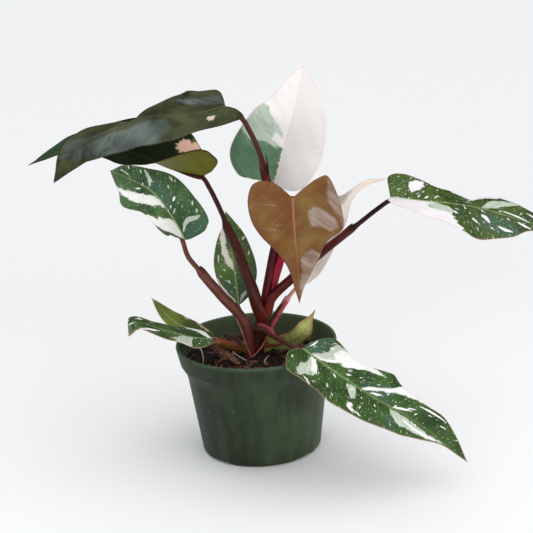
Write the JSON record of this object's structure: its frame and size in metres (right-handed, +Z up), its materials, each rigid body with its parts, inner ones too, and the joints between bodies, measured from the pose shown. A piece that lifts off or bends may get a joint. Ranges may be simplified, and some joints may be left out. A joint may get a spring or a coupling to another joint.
{
  "type": "potted pink princess philodendron",
  "caption": "Potted aroid with dark, bronze and pink-white speckled heart leaves on maroon stalks, standing in bark in a round green nursery pot.",
  "frame": {"origin": "centre of the pot's underside, on the surface that it stands on", "axes": "+Z up, +X to the viewer's right along the widest spread of the leaves, -Y towards the viewer"},
  "size_m": [0.4861, 0.2113, 0.3601],
  "materials": {
    "pot": "satin moulded plastic",
    "bark": "rough coarse bark",
    "stalk": "satin",
    "leaf_dark": "glossy waxed",
    "leaf_pale": "satin",
    "leaf_bronze": "satin waxed",
    "leaf_speckled": "satin waxed",
    "leaf_olive": "satin",
    "husk": "dry matt",
    "root": "matt"
  },
  "bodies": {
    "root": {"pot": "pot", "soil": "bark", "stem": "stalk", "leaf_dark_large": "leaf_dark", "leaf_dark_folded": "leaf_dark", "leaf_half_white": "leaf_pale", "leaf_bronze_new": "leaf_bronze", "leaf_speckled_left": "leaf_speckled", "leaf_speckled_right": "leaf_speckled", "leaf_upright_small": "leaf_speckled", "leaf_speckled_low": "leaf_speckled", "leaf_low_left": "leaf_speckled", "leaf_olive_small": "leaf_olive", "leaf_peach": "leaf_pale", "leaf_olive_low": "leaf_olive", "stalk_dark_large": "stalk", "stalk_dark_folded": "stalk", "stalk_half_white": "stalk", "stalk_bronze_new": "stalk", "stalk_speckled_left": "stalk", "stalk_speckled_right": "stalk", "stalk_upright_small": "stalk", "stalk_speckled_low": "stalk", "stalk_low_left": "stalk", "stalk_olive_small": "stalk", "stalk_peach": "stalk", "stalk_olive_low": "stalk", "husk_front": "husk", "husk_left": "husk", "dry_thread": "husk", "root_left": "root", "root_front": "root", "root_right": "root"}
  },
  "joints": []
}
